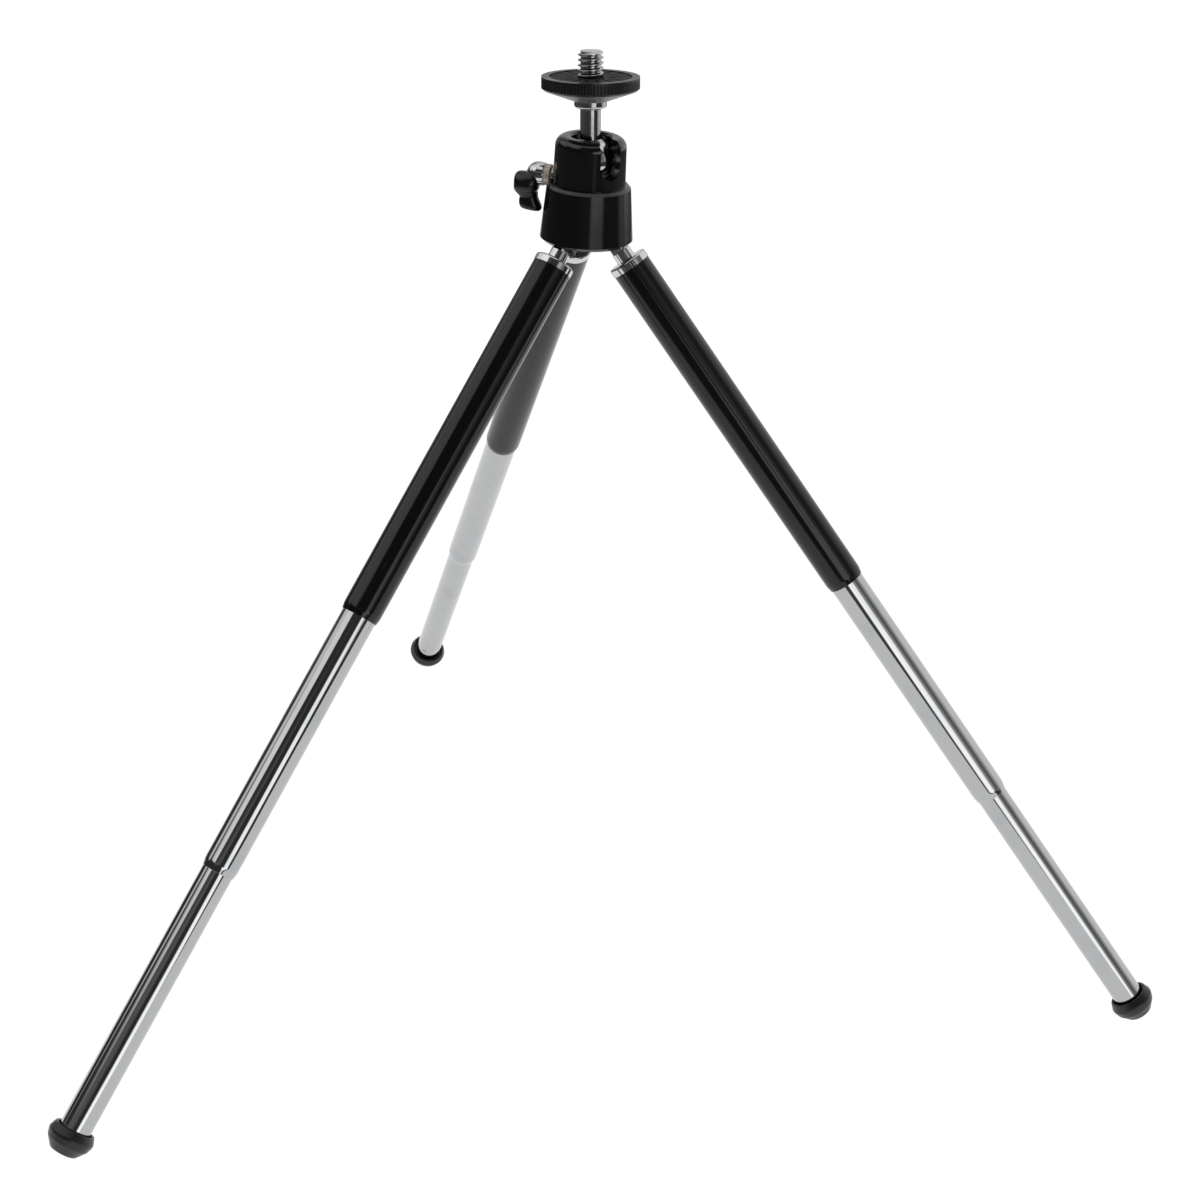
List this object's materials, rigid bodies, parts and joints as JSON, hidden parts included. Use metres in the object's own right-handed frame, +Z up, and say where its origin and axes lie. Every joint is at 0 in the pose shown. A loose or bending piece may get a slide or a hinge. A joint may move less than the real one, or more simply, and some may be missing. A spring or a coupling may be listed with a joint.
{
  "type": "mini tripod",
  "caption": "Mini tabletop tripod with a ball head, a round screw platform, a side lock knob and folding telescopic legs with rubber feet.",
  "frame": {"origin": "on the ground, under the axis of the head", "axes": "+Z up; the rear leg points along +Y; the slot of the ball head faces about -Y, a little towards +X"},
  "size_m": [0.295, 0.2571, 0.2471],
  "materials": {
    "housing_black": "gloss black moulded plastic",
    "tube_black": "gloss black enamel on a drawn tube",
    "tube_chrome": "bright chrome plate",
    "cap_chrome": "polished chrome plate",
    "head_chrome": "polished chrome plate",
    "platform_black": "satin black",
    "pad_rubber": "matt black",
    "knurled_nickel": "knurled, plated brass",
    "knob_black": "satin black moulded plastic",
    "seat_nylon": "natural nylon",
    "block_black": "matt black moulded plastic",
    "steel": "zinc-plated steel",
    "foot_rubber": "matt black rubber"
  },
  "bodies": {
    "housing": {"skirt": "housing_black", "cup": "housing_black", "ball_seat": "seat_nylon", "hinge_block": "block_black", "hinge_pins": "steel", "base_screw": "steel"},
    "ball": {"ball": "head_chrome"},
    "head": {"stud": "head_chrome", "platform": "platform_black", "platform_pad": "pad_rubber", "camera_screw": "head_chrome"},
    "shoe": {"brake_shoe": "knurled_nickel"},
    "lock": {"lock_screw": "knurled_nickel", "knob_core": "head_chrome", "knob_grip": "knob_black"},
    "left_leg": {"left_cap": "cap_chrome", "left_sleeve": "tube_black"},
    "left_middle": {"left_middle_tube": "tube_chrome", "left_middle_bush": "seat_nylon"},
    "left_lower": {"left_lower_tube": "tube_chrome", "left_lower_bush": "seat_nylon", "left_foot": "foot_rubber"},
    "right_leg": {"right_cap": "cap_chrome", "right_sleeve": "tube_black"},
    "right_middle": {"right_middle_tube": "tube_chrome", "right_middle_bush": "seat_nylon"},
    "right_lower": {"right_lower_tube": "tube_chrome", "right_lower_bush": "seat_nylon", "right_foot": "foot_rubber"},
    "rear_leg": {"rear_cap": "cap_chrome", "rear_sleeve": "tube_black"},
    "rear_middle": {"rear_middle_tube": "tube_chrome", "rear_middle_bush": "seat_nylon"},
    "rear_lower": {"rear_lower_tube": "tube_chrome", "rear_lower_bush": "seat_nylon", "rear_foot": "foot_rubber"}
  },
  "joints": [
    {"name": "ball_tilt", "type": "hinge", "parent": "housing", "child": "ball", "pos_m": [0, 0, 0.2199], "axis": [0.9397, 0.342, 0], "range_deg": [-15, 94.5]},
    {"name": "head_spin", "type": "hinge", "parent": "ball", "child": "head", "pos_m": [0, 0, 0.2199], "axis": [-0.0268, 0.0737, 0.9969], "continuous": true},
    {"name": "lock_feed", "type": "slide", "parent": "housing", "child": "shoe", "axis": [-0.866, 0.5, 0], "range_m": [0, 0.0007]},
    {"name": "lock_turn", "type": "hinge", "parent": "shoe", "child": "lock", "pos_m": [-0.01126, 0.0065, 0.2151], "axis": [-0.866, 0.5, 0], "range_deg": [0, 360]},
    {"name": "left_fold", "type": "hinge", "parent": "housing", "child": "left_leg", "pos_m": [-0.00519, -0.003, 0.2016], "axis": [0.5, -0.866, 0], "range_deg": [0, 38]},
    {"name": "left_middle_slide", "type": "slide", "parent": "left_leg", "child": "left_middle", "axis": [0.5431, 0.3136, 0.7789], "range_m": [0, 0.0694]},
    {"name": "left_lower_slide", "type": "slide", "parent": "left_middle", "child": "left_lower", "axis": [0.5431, 0.3136, 0.7789], "range_m": [0, 0.0668]},
    {"name": "right_fold", "type": "hinge", "parent": "housing", "child": "right_leg", "pos_m": [0.00519, -0.003, 0.2016], "axis": [0.5, 0.866, 0], "range_deg": [0, 38]},
    {"name": "right_middle_slide", "type": "slide", "parent": "right_leg", "child": "right_middle", "axis": [-0.5431, 0.3136, 0.7789], "range_m": [0, 0.0694]},
    {"name": "right_lower_slide", "type": "slide", "parent": "right_middle", "child": "right_lower", "axis": [-0.5431, 0.3136, 0.7789], "range_m": [0, 0.0668]},
    {"name": "rear_fold", "type": "hinge", "parent": "housing", "child": "rear_leg", "pos_m": [0, 0.006, 0.2016], "axis": [-1, 0, 0], "range_deg": [0, 38]},
    {"name": "rear_middle_slide", "type": "slide", "parent": "rear_leg", "child": "rear_middle", "axis": [0, -0.6271, 0.7789], "range_m": [0, 0.0694]},
    {"name": "rear_lower_slide", "type": "slide", "parent": "rear_middle", "child": "rear_lower", "axis": [0, -0.6271, 0.7789], "range_m": [0, 0.0668]}
  ],
  "couplings": [
    {"joint": "lock_turn", "follows": "lock_feed", "rad_per_m": 8976}
  ]
}
